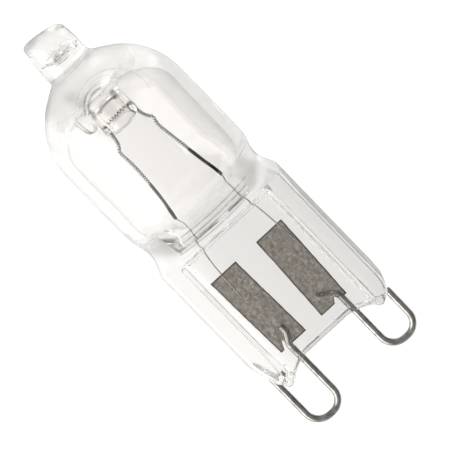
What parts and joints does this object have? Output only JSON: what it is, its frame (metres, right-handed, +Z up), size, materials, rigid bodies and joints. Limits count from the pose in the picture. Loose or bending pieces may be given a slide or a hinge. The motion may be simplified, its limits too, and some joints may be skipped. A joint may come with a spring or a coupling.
{
  "type": "halogen capsule lamp",
  "caption": "Small clear quartz halogen lamp lying at rest: blown capsule with tip stub and coil filament, pinched seal with foils, and looped wire pins.",
  "frame": {"origin": "middle of the bottom of the lamp's box as it lies at rest, on the surface that it lies on", "axes": "+X from the tip towards the pins, +Y across the pinch, +Z up; the lamp's own axis leans 12.6 degrees, tip up"},
  "size_m": [0.04, 0.0132, 0.0145],
  "materials": {
    "quartz": "clear polished fused quartz",
    "tungsten_coil": "dark drawn tungsten wire, wound in a fine coil",
    "lead_wire": "fine bare molybdenum wire",
    "seal_foil": "thin rolled molybdenum foil, dull grey-brown and slightly crumpled",
    "pin_wire": "smooth bare metal wire, satin"
  },
  "bodies": {
    "root": {"envelope": "quartz", "filament": "tungsten_coil", "inner_lead_left": "lead_wire", "inner_lead_right": "lead_wire", "foil_left": "seal_foil", "foil_right": "seal_foil", "pin_left": "pin_wire", "pin_right": "pin_wire"}
  },
  "joints": []
}
